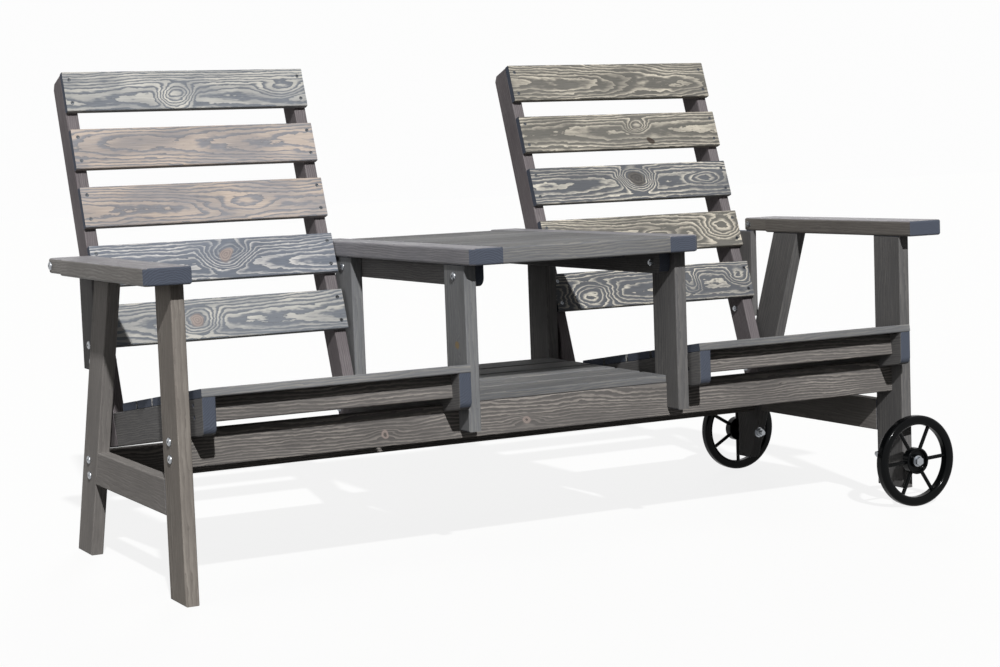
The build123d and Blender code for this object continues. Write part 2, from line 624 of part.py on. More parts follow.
def wheel(centre, outward, first_spoke):
    """A moulded wheel about Y: a round-edged rim, round spokes, and a drum cupped round a bored boss."""
    section = Plane.XZ * Pos(WHEEL_R - RIM_DEPTH / 2, 0) * RectangleRounded(RIM_DEPTH, RIM_W, RIM_ROUND)
    body = revolve(section, Axis.Z)
    cup = rod(CUP_R, CUP_DEPTH, DRUM_W / 2 - CUP_DEPTH)
    drum = Cylinder(DRUM_R, DRUM_W) - cup
    body += fillet(drum.edges().filter_by(GeomType.CIRCLE), DRUM_ROUND)
    body += rod(BOSS_R, HUB_INSET + HUB_REACH, -HUB_INSET)
    spoke_start = middle(CUP_R, DRUM_R)
    spoke_length = WHEEL_R - RIM_DEPTH / 2 - spoke_start
    for index in range(SPOKES):
        turn = Rot(0, 0, first_spoke + index * 360 / SPOKES)
        body += turn * Pos(spoke_start, 0, 0) * Rot(0, 90, 0) * rod(SPOKE_R, spoke_length)
    body -= rod(AXLE_R + AXLE_RUN_FIT, HUB_INSET + HUB_REACH, -HUB_INSET)
    return (Plane(origin=centre, x_dir=(1, 0, 0), z_dir=(0, outward, 0)) * body).solid()


def axle(leg_face, far_face, outward, node, first_spoke):
    """A wheel on its bolt: head, washer, hub, washer, leg, then washer and nut on the leg's far face."""
    at = place((AXLE_X, leg_face, AXLE_Z), (0, outward, 0))
    wheel_y = leg_face + outward * WHEEL_OFFSET
    keep(node, wheel((AXLE_X, wheel_y, AXLE_Z), outward, first_spoke))

    leg_depth = abs(far_face - leg_face)
    outer_washer_at = WHEEL_OFFSET + HUB_REACH + WHEEL_PLAY
    nut_washer_at = -leg_depth - WASHER_T
    nut_at = nut_washer_at - AXLE_NUT_H
    head_at = outer_washer_at + WASHER_T
    tail_at = nut_at - AXLE_TAIL
    shank = rod(AXLE_R, head_at - tail_at, tail_at)
    bore = rod(AXLE_R + FIT, head_at - tail_at, tail_at)
    drill(at, AXLE_R, leg_depth, -leg_depth)
    keep("axle_bolts", (at * (shank + hexagon(AXLE_HEAD_R, AXLE_HEAD_H, head_at))).solid())
    for washer_at in (outer_washer_at, 0.0, nut_washer_at):
        keep("axle_washers", (at * (rod(WASHER_R, WASHER_T, washer_at) - bore)).solid())
    keep("axle_nuts", (at * (hexagon(AXLE_HEAD_R, AXLE_NUT_H, nut_at) - bore)).solid())


axle(0.0, BOARD_W, -1, "front_wheel", FRONT_SPOKE_TURN)
axle(WHEEL_SEAT_Y, leg_front(AXLE_Z) + SPOT_DEPTH, 1, "rear_wheel", REAR_SPOKE_TURN)

# Drill every board for the fasteners that cross it, centre the footprint on the origin and write the pieces

METAL_AND_MOULDED = {
    "dowels", "frame_bolts", "barrel_nuts", "post_bolts", "hex_nuts", "post_screws",
    "table_and_deck_screws", "seat_frame_screws", "seat_bolts", "seat_spacers", "seat_slat_screws",
    "back_slat_screws", "arm_end_bolts", "cleat_bolts", "front_wheel", "rear_wheel", "axle_bolts",
    "axle_washers", "axle_nuts",
}
hole_boxes = [hole.bounding_box() for hole in holes]


def overlaps(a, b):
    return all(
        low_a < high_b and low_b < high_a
        for low_a, high_a, low_b, high_b in zip(a.min, a.max, b.min, b.max)
    )


def drilled(board):
    box = board.bounding_box()
    crossing = [hole for hole, hole_box in zip(holes, hole_boxes) if overlaps(box, hole_box)]
    return (board - crossing).solid() if crossing else board


rear_y = max(y for y, _ in STILE_OUTLINE)
centring = Pos(-(AXLE_X + WHEEL_R - HALF - ARM_OVERHANG) / 2, -(TABLE_FRONT_Y + rear_y) / 2, 0)

os.makedirs("parts", exist_ok=True)
for node, solids in nodes.items():
    if node not in METAL_AND_MOULDED:
        solids = [drilled(solid) for solid in solids]
    placed = [centring * solid for solid in solids]
    export_step(placed[0] if len(placed) == 1 else Compound(placed), f"parts/{node}.step")
print(len(nodes), "pieces and groups; origin at", centring.position)
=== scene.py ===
"""Looks for a garden bench of grey glazed pine.

Two slatted seats, a table and a deck between them, two armrests, and two wheels at one end.
"""

import math
from collections import namedtuple

import bpy
import numpy as np
from mathutils import Matrix, Vector

bl_info = {
    "name": "Garden bench looks",
    "version": (1, 0, 0),
    "blender": (4, 5, 0),
    "location": "View3D > Sidebar > Bench",
    "description": "Dresses the packed garden bench in glazed pine, zinc plated steel and moulded plastic",
    "category": "Object",
}

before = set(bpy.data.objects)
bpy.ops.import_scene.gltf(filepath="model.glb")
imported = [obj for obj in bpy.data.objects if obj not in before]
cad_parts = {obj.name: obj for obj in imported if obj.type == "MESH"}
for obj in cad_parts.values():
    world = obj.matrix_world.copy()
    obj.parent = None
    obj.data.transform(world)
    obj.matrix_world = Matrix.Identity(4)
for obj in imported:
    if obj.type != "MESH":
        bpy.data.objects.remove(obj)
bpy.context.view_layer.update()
MM = 0.001

# Directions of the boards, in the row frame
X, Y, Z = Vector((1, 0, 0)), Vector((0, 1, 0)), Vector((0, 0, 1))
RECLINE = math.radians(19.7)
SLOPE = math.radians(8.5)
LEAN = math.radians(20.9)
BACK_UP = Vector((0, math.sin(RECLINE), math.cos(RECLINE)))
BACK_FACE = Vector((0, -math.cos(RECLINE), math.sin(RECLINE)))
SEAT_DOWN = Vector((0, math.cos(SLOPE), -math.sin(SLOPE)))
SEAT_FACE = Vector((0, math.sin(SLOPE), math.cos(SLOPE)))
LEG_UP = Vector((0, -math.sin(LEAN), math.cos(LEAN)))

# Groups of like boards: the board's own axis along which they lie side by side, and their widths there in mm
ACROSS, THROUGH = 1, 2
BOARD_W = 95
BOARD_T = 28
BATTEN_W = 70
CLEAT_T = 18
BOARD_SHIFT = 0.83  # metres along the trunk from one board of a group to the next
BOARD_DRAW = 30.5  # picks each board's depth of glaze, and its half keeps clear of rounding

# Growth rings, with a year that runs from 0 in spring to 1 in winter
RAGGED = 0.9  # rings by which fine noise frays a ring
LATE_STOPS = (0.88, 0.99)  # end of the late wood
WINTER = (0.90, 0.99)  # dark line after it
WINTER_SHADE = 0.84
WEAK_YEAR = 0.55  # late wood of the weakest year, as a share of the strongest
WEAK_PATCH = 0.45  # late wood in its weakest stretches
STREAK = 0.14  # how much lighter or darker a fibre is
CLOUD = 0.08  # how much lighter or darker the glaze is where it lies thin or thick
LOOSE = Vector((0.05, 0.03, 0))  # metres of play in the outline of an eye or a knot
KNOT_GROWTH = 22.0  # radians of ring from a knot's edge to its heart
SEED_STEP = 2.17  # features along a board from one seed's noise to the next

# Noises on a board: features per metre along, across and through it, their detail, and a shift of the seed
GRAIN_NOISE = {
    "wander": ((5, 16, 16), 3.0, 0),  # sway of the pith
    "ragged": ((45, 170, 170), 2.0, 0),  # frayed edges of the rings
    "patch": ((7, 17, 17), 2.0, 9),  # stretches where the late wood is weak
    "fibre": ((20, 480, 480), 2.0, 0),  # fibres, drawn at about 2 mm so that they show
    "cloud": ((3, 9, 9), 2.0, 4),  # places where the glaze lies thick
}

# The glaze's finish
BOARD_ROUGH = 0.8
EDGE_ROUGH = 0.55  # table edge boards
ARM_ROUGH = 0.5
LATE_GLOSS = 0.12  # how much smoother late wood is
GLAZE_SPECULAR = 0.12  # kept low, as the white room's reflection would whiten the boards
PAINTED_TOP_SHEEN = (1.72, 1.80, 2.05)  # painted sheen: how much paler and bluer the armrests' tops are painted, standing in for the sky's light and sheen on them
GLAZE_VARIES = 0.2  # how much lighter or darker a seat, deck or table board is than the next

# Patterns on the fittings, in features per metre
ZINC_CLOUDS = 400.0  # 2.5 mm, drawn coarser than the crystals of the plating so that they show
BEECH_FLECKS = 600.0  # short rays under 2 mm
ORANGE_PEEL = 350.0  # about 3 mm, as a mould leaves it

# Stage
FLOOR_SIZE = 60.0
FLOOR_GLOW = 0.85  # share of the floor's look that its shadow doesn't darken
ROOM_WHITE = 0.98
SENSOR = 36.0
FAR = 200.0

SMOOTH = {"interpolation_type": "SMOOTHSTEP"}

# A year's ring on a board: its two colours, where in the year the late wood begins, and where it is full
Tone = namedtuple("Tone", "glaze late begins full")


def linear(code):
    """An sRGB hex colour as linear red, green, blue."""
    shares = [int(code[i:i + 2], 16) / 255 for i in (1, 3, 5)]
    return tuple(s / 12.92 if s <= 0.04045 else ((s + 0.055) / 1.055) ** 2.4 for s in shares)


def colour(code, name, description):
    """A colour that the user can change."""
    return bpy.props.FloatVectorProperty(
        name=name, description=description, default=linear(code), subtype="COLOR", min=0.0, max=1.0
    )


def strength(value, name, description):
    """A lamp's or the sky's strength that the user can change."""
    return bpy.props.FloatProperty(name=name, description=description, default=value, min=0.0)


def angle(degrees, name, description):
    """An angle that the user can change."""
    return bpy.props.FloatProperty(
        name=name, description=description, default=math.radians(degrees), subtype="ANGLE"
    )


def direction(vector, name, description):
    """A direction that the user can change."""
    return bpy.props.FloatVectorProperty(
        name=name, description=description, default=vector, subtype="DIRECTION"
    )


def add(tree, kind, inputs=None, **settings):
    """A shader node with its settings, each input given a value or linked from another node's output."""
    made = tree.nodes.new(kind)
    for key, value in settings.items():
        setattr(made, key, value)
    for key, value in (inputs or {}).items():
        if isinstance(value, bpy.types.NodeSocket):
            tree.links.new(value, made.inputs[key])
        else:
            made.inputs[key].default_value = value
    return made


def new_material(name):
    """A material with an empty node tree."""
    material = bpy.data.materials.new(name)
    material.use_nodes = True
    material.node_tree.nodes.clear()
    return material, material.node_tree


def dress(node, material):
    """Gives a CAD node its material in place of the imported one."""
    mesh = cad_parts[node].data
    mesh.materials.clear()
    mesh.materials.append(material)


class BenchTimber(bpy.types.PropertyGroup):
    """Colours and grain of the glazed pine."""

    cool_glaze: colour("#72767c", "Cool glaze", "Early wood of the left back's first and last slats")
    cool_late: colour("#c3c0b8", "Cool late wood", "Late wood of the left back's first and last slats")
    blue_glaze: colour("#71767f", "Blue glaze", "Early wood of the left back's fourth slat")
    blue_late: colour("#cfccc8", "Blue late wood", "Late wood of the left back's fourth slat")
    warm_glaze: colour("#848488", "Warm glaze", "Early wood of the left back's second and third slats")
    warm_late: colour("#bbac9f", "Warm late wood", "Late wood of the left back's second and third slats")
    deep_glaze: colour("#6a6863", "Deep glaze", "Early wood of the right back's upper slats")
    deep_late: colour("#d0c8b8", "Deep late wood", "Late wood of the right back's upper slats")
    dusk_glaze: colour("#5f6165", "Dusk glaze", "Early wood of the right back's third and fifth slats")
    dusk_late: colour("#d6d0c2", "Dusk late wood", "Late wood of the right back's third and fifth slats")
    flat_glaze: colour("#6d6e70", "Flat glaze", "Early wood of seats, deck and table planks")
    flat_late: colour("#83817d", "Flat late wood", "Late wood of seats, deck and table planks")
    frame_glaze: colour("#616060", "Frame glaze", "Early wood of the right legs and posts and the bearers")
    frame_late: colour("#6f6d6b", "Frame late wood", "Late wood of the right legs and posts and the bearers")
    leg_glaze: colour("#79736d", "Leg glaze", "Early wood of the left front leg")
    leg_late: colour("#8b857e", "Leg late wood", "Late wood of the left front leg")
    stile_glaze: colour("#666062", "Stile glaze", "Early wood of the backs' stiles")
    stile_late: colour("#7b7677", "Stile late wood", "Late wood of the backs' stiles")
    rail_glaze: colour("#7e7a77", "Rail glaze", "Early wood of the side rails and the left rear leg")
    rail_late: colour("#87837f", "Rail late wood", "Late wood of the side rails and the left rear leg")
    post_glaze: colour("#727375", "Post glaze", "Early wood of the left posts")
    post_late: colour("#7e7e7d", "Post late wood", "Late wood of the left posts")
    beam_glaze: colour("#625f5d", "Beam glaze", "Early wood of the beams, which are sawn across the rings")
    beam_late: colour("#928c86", "Beam late wood", "Late wood of the beams, which are sawn across the rings")
    arm_glaze: colour("#6b6763", "Armrest glaze", "Early wood of the armrests")
    arm_late: colour("#77736e", "Armrest late wood", "Late wood of the armrests")
    edge_glaze: colour("#7d7c80", "Table edge glaze", "Early wood of the table's edge boards")
    edge_late: colour("#8d8b8d", "Table edge late wood", "Late wood of the table's edge boards")
    end_grain: colour("#4a4f5a", "End grain", "Sawn ends, which drink the most glaze")
    knot: colour("#382e29", "Knot", "Heart of a dead knot")
    knot_grey: colour("#55524f", "Grey knot", "Heart of a knot that drank the glaze")
    knot_pink: colour("#988b85", "Sound knot", "Heart of a sound knot")
    knot_gold: colour("#8d7a58", "Resin knot", "Heart of a resinous knot")
    ring: bpy.props.FloatProperty(
        name="Ring width", description="Width of a year's growth", default=4.6 * MM, unit="LENGTH", min=1 * MM
    )


class BenchFittings(bpy.types.PropertyGroup):
    """Colours of the steel, the plastic and the dowels."""

    zinc: colour("#9fa2a6", "Zinc plating", "Bolts, nuts and washers")
    # Painted shade: the screws' zinc is painted darker, standing in for the shade in their countersinks and
    # the darker surroundings that they reflect
    shade_darkened_zinc: colour("#66696d", "Dull zinc", "Screws let into the boards, which keep some glaze")
    plastic: colour("#08090a", "Wheel plastic", "Moulded wheels")
    beech: colour("#b98f66", "Beech", "Dowels inside the joints")


class BenchStage(bpy.types.PropertyGroup):
    """Floor, light and camera."""

    floor: colour("#f4f4f2", "Floor", "Plain pale floor")
    bounce: colour("#454544", "Floor bounce", "Floor as the light that it throws back sees it")
    sky: strength(0.15, "Sky", "Strength of the even light all round")
    sun: strength(3.75, "Sun", "Strength of the key lamp")
    sun_spread: angle(1.5, "Sun spread", "Angle that the key lamp fills")
    sun_from: direction((-0.215, -0.77, 0.60), "Sun from", "Direction towards the key lamp")
    fill: strength(1.3, "Fill", "Strength of the lamp behind")
    fill_spread: angle(25, "Fill spread", "Angle that the lamp behind fills")
    fill_from: direction((0.50, 0.83, 0.25), "Fill from", "Direction towards the lamp behind")
    side: strength(0.6, "Side", "Strength of the lamp on the left")
    side_spread: angle(40, "Side spread", "Angle that the lamp on the left fills")
    side_from: direction((-0.95, -0.28, 0.12), "Side from", "Direction towards the lamp on the left")
    eye: bpy.props.FloatVectorProperty(
        name="Camera", description="Place of the camera", default=(-2.1670, -4.1397, 0.8658),
        subtype="TRANSLATION", unit="LENGTH",
    )
    yaw: angle(27.757, "Yaw", "Camera turned from +Y towards +X")
    tilt: angle(-5.159, "Tilt", "Camera above the level")
    roll: angle(-2.103, "Roll", "Camera turned about its own line of sight")
    lens: bpy.props.FloatProperty(
        name="Lens", description="Focal length in millimetres on a 36 mm sensor", default=72.895, min=1.0
    )


def board_axes(grain, face):
    """Turns the row frame into a board's own: along the grain, across it, out of the face."""
    along = grain.normalized()
    out = face.normalized()
    return Matrix((along, out.cross(along), out))


def board_reach(node, axes):
    """Low and high corner of a node in a board's own axes."""
    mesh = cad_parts[node].data
    points = np.empty(len(mesh.vertices) * 3, np.float32)
    mesh.vertices.foreach_get("co", points)
    local = points.reshape(-1, 3) @ np.array(axes, np.float32).T
    return Vector(local.min(0)), Vector(local.max(0))


def glazed_pine(node, timber, grain, face, tone, seed, boards=1, gang=ACROSS, width=None, tilt=(0.3, 0.5),
                pith=(62.0, -34.0), sway=9.0, rough=BOARD_ROUGH, painted_top_sheen=None, vary=0.0, eyes=(), knots=()):
    """Glazed pine on one node, which is a board or a group of like boards.

    Plain-sawn pine under a thin grey glaze: soft early wood drinks the pigment and goes blue grey, hard late
    wood stays tan, so the growth rings show as arches on the face, lines on the edges and arcs on the sawn
    ends. The rings are drawn round a pith that runs beside the board, tilted by a few degrees. Pith, sway,
    eyes and knots are in mm. An eye is a swelling in the rings: its place on the face, half length, half
    width and number of rings. A knot is its place, its radius and the colour of its heart.
    """
    axes = board_axes(grain, face)
    low, high = board_reach(node, axes)
    centre = (low + high) / 2
    if boards > 1:
        pitch = (high[gang] - low[gang] - width * MM) / (boards - 1)
        centre[gang] = low[gang] + width * MM / 2
    material, tree = new_material(f"glazed_pine_{node}")

    coords = add(tree, "ShaderNodeTexCoord").outputs
    local = add(tree, "ShaderNodeMapping", {
        "Vector": coords["Object"], "Rotation": axes.to_euler(), "Location": -centre,
    }).outputs[0]
    if boards > 1:
        # Every board of a group gets the same place across it, and its own stretch of the trunk
        parts = add(tree, "ShaderNodeSeparateXYZ", {0: local}).outputs
        own = add(tree, "ShaderNodeMath", {0: parts[gang], 1: pitch / 2, 2: -pitch / 2},
                  operation="WRAP").outputs[0]
        index = add(tree, "ShaderNodeMath", {0: parts[gang], 1: own}, operation="SUBTRACT").outputs[0]
        along = add(tree, "ShaderNodeMath", {0: index, 1: BOARD_SHIFT / pitch, 2: parts[0]},
                    operation="MULTIPLY_ADD").outputs[0]
        places = [along, parts[1], parts[2]]
        places[gang] = own
        local = add(tree, "ShaderNodeCombineXYZ", dict(enumerate(places))).outputs[0]
        number = add(tree, "ShaderNodeMath", {0: index, 1: 1 / pitch, 2: seed + BOARD_DRAW},
                     operation="MULTIPLY_ADD").outputs[0]
        number = add(tree, "ShaderNodeMath", {0: number}, operation="FLOOR").outputs[0]
        depth = add(tree, "ShaderNodeTexWhiteNoise", {"W": number}, noise_dimensions="1D").outputs["Value"]

    noise = {}
    for name, (scale, detail, shift) in GRAIN_NOISE.items():
        start = seed + shift
        spread = add(tree, "ShaderNodeMapping", {
            "Vector": local, "Scale": scale, "Location": (start * SEED_STEP, start, 0),
        }).outputs[0]
        noise[name] = add(tree, "ShaderNodeTexNoise", {
            "Vector": spread, "Scale": 1.0, "Detail": detail,
        }).outputs
    wander = noise["wander"]["Color"]
    fibre = noise["fibre"]["Fac"]

    # Eyes and knots: each a share from 0 at the edge of an oval on the face to 1 at its centre
    loose = add(tree, "ShaderNodeVectorMath", {0: wander, 1: LOOSE, 2: local},
                operation="MULTIPLY_ADD").outputs[0]
    loose = add(tree, "ShaderNodeVectorMath", {0: loose, 1: LOOSE / 2}, operation="SUBTRACT").outputs[0]
    ovals = [eye[:4] for eye in eyes] + [(u, v, radius, radius) for u, v, radius, _ in knots]
    spots = []
    for u, v, long, wide in ovals:
        place = add(tree, "ShaderNodeMapping", {
            "Vector": loose, "Location": (-u / long, -v / wide, 0),
            "Scale": (1 / long / MM, 1 / wide / MM, 0),
        }).outputs[0]
        spot = add(tree, "ShaderNodeTexGradient", {"Vector": place}, gradient_type="SPHERICAL")
        spots.append(spot.outputs["Fac"])

    # The trunk's own axes, with the pith along X, and the distance from a pith that sways
    trunk = add(tree, "ShaderNodeMapping", {
        "Vector": local, "Rotation": (0, math.radians(tilt[1]), math.radians(tilt[0])),
        "Location": (0, -pith[0] * MM, -pith[1] * MM),
    }).outputs[0]
    bent = add(tree, "ShaderNodeVectorMath", {0: wander, 1: (0, 2 * sway * MM, 2 * sway * MM), 2: trunk},
               operation="MULTIPLY_ADD").outputs[0]
    level = add(tree, "ShaderNodeVectorMath", {0: bent, 1: (0, 1, 1)}, operation="MULTIPLY").outputs[0]
    radius = add(tree, "ShaderNodeVectorMath", {0: level}, operation="LENGTH").outputs["Value"]
    rings = add(tree, "ShaderNodeMath", {0: radius, 1: 1 / timber.ring}, operation="MULTIPLY").outputs[0]
    for spot, (*_, count) in zip(spots, eyes):
        swell = add(tree, "ShaderNodeMapRange", {"Value": spot, "From Max": 0.9, "To Max": count}, **SMOOTH)
        rings = add(tree, "ShaderNodeMath", {0: rings, 1: swell.outputs[0]}).outputs[0]
    rings = add(tree, "ShaderNodeMath", {0: noise["ragged"]["Fac"], 1: RAGGED, 2: rings},
                operation="MULTIPLY_ADD").outputs[0]

    # Late wood builds up through a year and stops short at the winter's dark line
    phase = add(tree, "ShaderNodeMath", {0: rings}, operation="FRACT").outputs[0]
    year = add(tree, "ShaderNodeMath", {0: rings}, operation="FLOOR").outputs[0]
    rise = add(tree, "ShaderNodeMapRange", {
        "Value": phase, "From Min": tone.begins, "From Max": tone.full,
    }, **SMOOTH).outputs[0]
    fall = add(tree, "ShaderNodeMapRange", {
        "Value": phase, "From Min": LATE_STOPS[0], "From Max": LATE_STOPS[1], "To Min": 1.0, "To Max": 0.0,
    }, **SMOOTH).outputs[0]
    band = add(tree, "ShaderNodeMath", {0: rise, 1: fall}, operation="MULTIPLY").outputs[0]
    yearly = add(tree, "ShaderNodeTexWhiteNoise", {"W": year}, noise_dimensions="1D").outputs["Value"]
    vigour = add(tree, "ShaderNodeMapRange", {"Value": yearly, "To Min": WEAK_YEAR, "To Max": 1.0}).outputs[0]
    patch = add(tree, "ShaderNodeMapRange", {
        "Value": noise["patch"]["Fac"], "From Min": 0.34, "From Max": 0.60,
        "To Min": WEAK_PATCH, "To Max": 1.0,
    }, **SMOOTH).outputs[0]
    pale = add(tree, "ShaderNodeMath", {0: vigour, 1: patch}, operation="MULTIPLY").outputs[0]
    pale = add(tree, "ShaderNodeMath", {0: band, 1: pale}, operation="MULTIPLY").outputs[0]
    shown = add(tree, "ShaderNodeMix", {"Factor": pale, "A": (*tone.glaze, 1), "B": (*tone.late, 1)},
                data_type="RGBA").outputs["Result"]

    # Winter's line, fibres, clouds of glaze, and each board's own depth of it
    winter = add(tree, "ShaderNodeMapRange", {
        "Value": phase, "From Min": WINTER[0], "From Max": WINTER[1], "To Min": 1.0, "To Max": WINTER_SHADE,
    }, **SMOOTH).outputs[0]
    streak = add(tree, "ShaderNodeMapRange", {
        "Value": fibre, "From Min": 0.25, "From Max": 0.75, "To Min": 1 - STREAK, "To Max": 1 + STREAK,
    }).outputs[0]
    cloud = add(tree, "ShaderNodeMapRange", {
        "Value": noise["cloud"]["Fac"], "From Min": 0.3, "From Max": 0.7,
        "To Min": 1 - CLOUD, "To Max": 1 + CLOUD,
    }, **SMOOTH).outputs[0]
    shades = [streak, cloud]
    if vary:
        own_depth = {"Value": depth, "To Min": 1 - vary, "To Max": 1 + vary}
        shades.append(add(tree, "ShaderNodeMapRange", own_depth).outputs[0])
    shade = winter
    for part in shades:
        shade = add(tree, "ShaderNodeMath", {0: shade, 1: part}, operation="MULTIPLY").outputs[0]
    shown = add(tree, "ShaderNodeVectorMath", {0: shown, "Scale": shade}, operation="SCALE").outputs[0]

    for spot, (*_, heart) in zip(spots[len(eyes):], knots):
        growth = add(tree, "ShaderNodeMath", {0: spot, 1: KNOT_GROWTH}, operation="MULTIPLY").outputs[0]
        growth = add(tree, "ShaderNodeMath", {0: growth}, operation="SINE").outputs[0]
        cover = add(tree, "ShaderNodeMapRange", {
            "Value": spot, "From Min": 0.02, "From Max": 0.3, "To Max": 0.85,
        }, **SMOOTH).outputs[0]
        tint = add(tree, "ShaderNodeMapRange", {
            "Value": growth, "From Min": -1.0, "To Min": 0.78, "To Max": 1.1,
        }).outputs[0]
        core = add(tree, "ShaderNodeVectorMath", {0: heart, "Scale": tint}, operation="SCALE").outputs[0]
        shown = add(tree, "ShaderNodeMix", {"Factor": cover, "A": shown, "B": core},
                    data_type="RGBA").outputs["Result"]

    # Painted sheen: faces that look up are painted paler and bluer, standing in for the sky's light and sheen
    # on the armrests' tops
    if painted_top_sheen:
        upward = add(tree, "ShaderNodeSeparateXYZ", {0: coords["Normal"]}).outputs[2]
        open_sky = add(tree, "ShaderNodeMapRange", {
            "Value": upward, "From Min": 0.3, "From Max": 0.9,
        }, **SMOOTH).outputs[0]
        painted_sheen = add(tree, "ShaderNodeVectorMath", {0: shown, 1: painted_top_sheen}, operation="MULTIPLY").outputs[0]
        shown = add(tree, "ShaderNodeMix", {"Factor": open_sky, "A": shown, "B": painted_sheen},
                    data_type="RGBA").outputs["Result"]

    # Sawn ends and cut corners face along the grain
    facing = add(tree, "ShaderNodeVectorMath", {0: coords["Normal"], 1: grain}, operation="DOT_PRODUCT")
    facing = add(tree, "ShaderNodeMath", {0: facing.outputs["Value"]}, operation="ABSOLUTE").outputs[0]
    end = add(tree, "ShaderNodeMapRange", {
        "Value": facing, "From Min": 0.50, "From Max": 0.70,
    }, **SMOOTH).outputs[0]
    arcs = add(tree, "ShaderNodeMapRange", {"Value": band, "To Min": 0.92, "To Max": 1.22}).outputs[0]
    sawn = add(tree, "ShaderNodeVectorMath", {0: timber.end_grain, "Scale": arcs},
               operation="SCALE").outputs[0]
    shown = add(tree, "ShaderNodeMix", {"Factor": end, "A": shown, "B": sawn},
                data_type="RGBA").outputs["Result"]

    # Late wood stands a little proud of the soft early wood, and is smoother
    relief = add(tree, "ShaderNodeMath", {0: fibre, 1: 0.6, 2: pale}, operation="MULTIPLY_ADD").outputs[0]
    bump = add(tree, "ShaderNodeBump", {"Height": relief, "Strength": 0.35, "Distance": 0.4 * MM}).outputs[0]
    finish = add(tree, "ShaderNodeMapRange", {"Value": pale, "To Min": rough, "To Max": rough - LATE_GLOSS})
    shader = add(tree, "ShaderNodeBsdfPrincipled", {
        "Base Color": shown, "Roughness": finish.outputs[0], "Normal": bump, "IOR": 1.5,
        "Specular IOR Level": GLAZE_SPECULAR,
    })
    add(tree, "ShaderNodeOutputMaterial", {"Surface": shader.outputs[0]})
    dress(node, material)


class BENCH_OT_back_slats(bpy.types.Operator):
    """Dress the ten back slats, each with its own arches, eyes and knots"""

    bl_idname = "bench.back_slats"
    bl_label = "Back slats"

    def execute(self, context):
        timber = context.scene.bench_timber
        cool = Tone(timber.cool_glaze, timber.cool_late, 0.18, 0.55)
        blue = Tone(timber.blue_glaze, timber.blue_late, 0.42, 0.86)
        warm = Tone(timber.warm_glaze, timber.warm_late, 0.16, 0.52)
        deep = Tone(timber.deep_glaze, timber.deep_late, 0.28, 0.90)
        dusk = Tone(timber.dusk_glaze, timber.dusk_late, 0.36, 0.90)
        narrow_cool = cool._replace(begins=0.26, full=0.64)
        narrow_dusk = dusk._replace(begins=0.46, full=0.93)
        dead, grey, sound = timber.knot, timber.knot_grey, timber.knot_pink
        # Tone, tilt, pith across and below the face, sway, eyes, knots
        slats = {
            "left_back_slat_1": (cool, (0.0, 0.5), (-14, -34), 9,
                                 [(-31, -14, 66, 42, 6), (236, -4, 90, 30, 3)], []),
            "left_back_slat_2": (warm, (0.3, 1.5), (14, -32), 8, [], []),
            "left_back_slat_3": (warm, (-0.4, -1.5), (-2, -32), 9, [(70, -4, 130, 30, 2)], []),
            "left_back_slat_4": (blue, (0.5, 1.1), (-6, -36), 8,
                                 [(25, 6, 80, 46, 6)], [(25, 6, 18, sound)]),
            "left_back_slat_5": (narrow_cool, (-0.4, 1.2), (0, -34), 8,
                                 [(-66, -4, 80, 46, 6)], [(-66, -4, 19, sound)]),
            "right_back_slat_1": (deep, (0.8, -2.2), (6, -30), 14, [], []),
            "right_back_slat_2": (deep, (0.1, 0.6), (4, -34), 7,
                                  [(48, 10, 56, 26, 4)], [(83, -30, 11, dead)]),
            "right_back_slat_3": (dusk, (0.1, -0.6), (4, -36), 7,
                                  [(10, 6, 70, 46, 7), (218, 0, 95, 22, 3)], [(10, 6, 24, grey)]),
            "right_back_slat_4": (deep, (0.4, -1.0), (0, -34), 9,
                                  [(232, 0, 100, 44, 5), (40, -6, 90, 20, 2)], []),
            "right_back_slat_5": (narrow_dusk, (-0.3, 0.9), (0, -32), 9,
                                  [(-190, -14, 110, 48, 6), (104, 0, 46, 40, 4), (262, 6, 60, 36, 4)], []),
        }
        for seed, (node, (tone, tilt, pith, sway, eyes, knots)) in enumerate(slats.items()):
            glazed_pine(node, timber, X, BACK_FACE, tone, seed, tilt=tilt, pith=pith, sway=sway, eyes=eyes,
                        knots=knots)
        return {"FINISHED"}


class BENCH_OT_flat_boards(bpy.types.Operator):
    """Dress the seat slats, the deck boards and the table planks"""

    bl_idname = "bench.flat_boards"
    bl_label = "Seats, deck and table planks"

    def execute(self, context):
        timber = context.scene.bench_timber
        flat = Tone(timber.flat_glaze, timber.flat_late, 0.2, 0.7)
        groups = (
            ("left_seat_slats", SEAT_FACE, 5),
            ("right_seat_slats", SEAT_FACE, 5),
            ("deck_boards", Z, 5),
            ("table_planks", Z, 8),
        )
        for seed, (node, face, boards) in enumerate(groups, 20):
            glazed_pine(node, timber, X, face, flat, seed, boards=boards, width=BOARD_W, tilt=(0.4, 1.1),
                        pith=(6, -36), vary=GLAZE_VARIES)
        return {"FINISHED"}


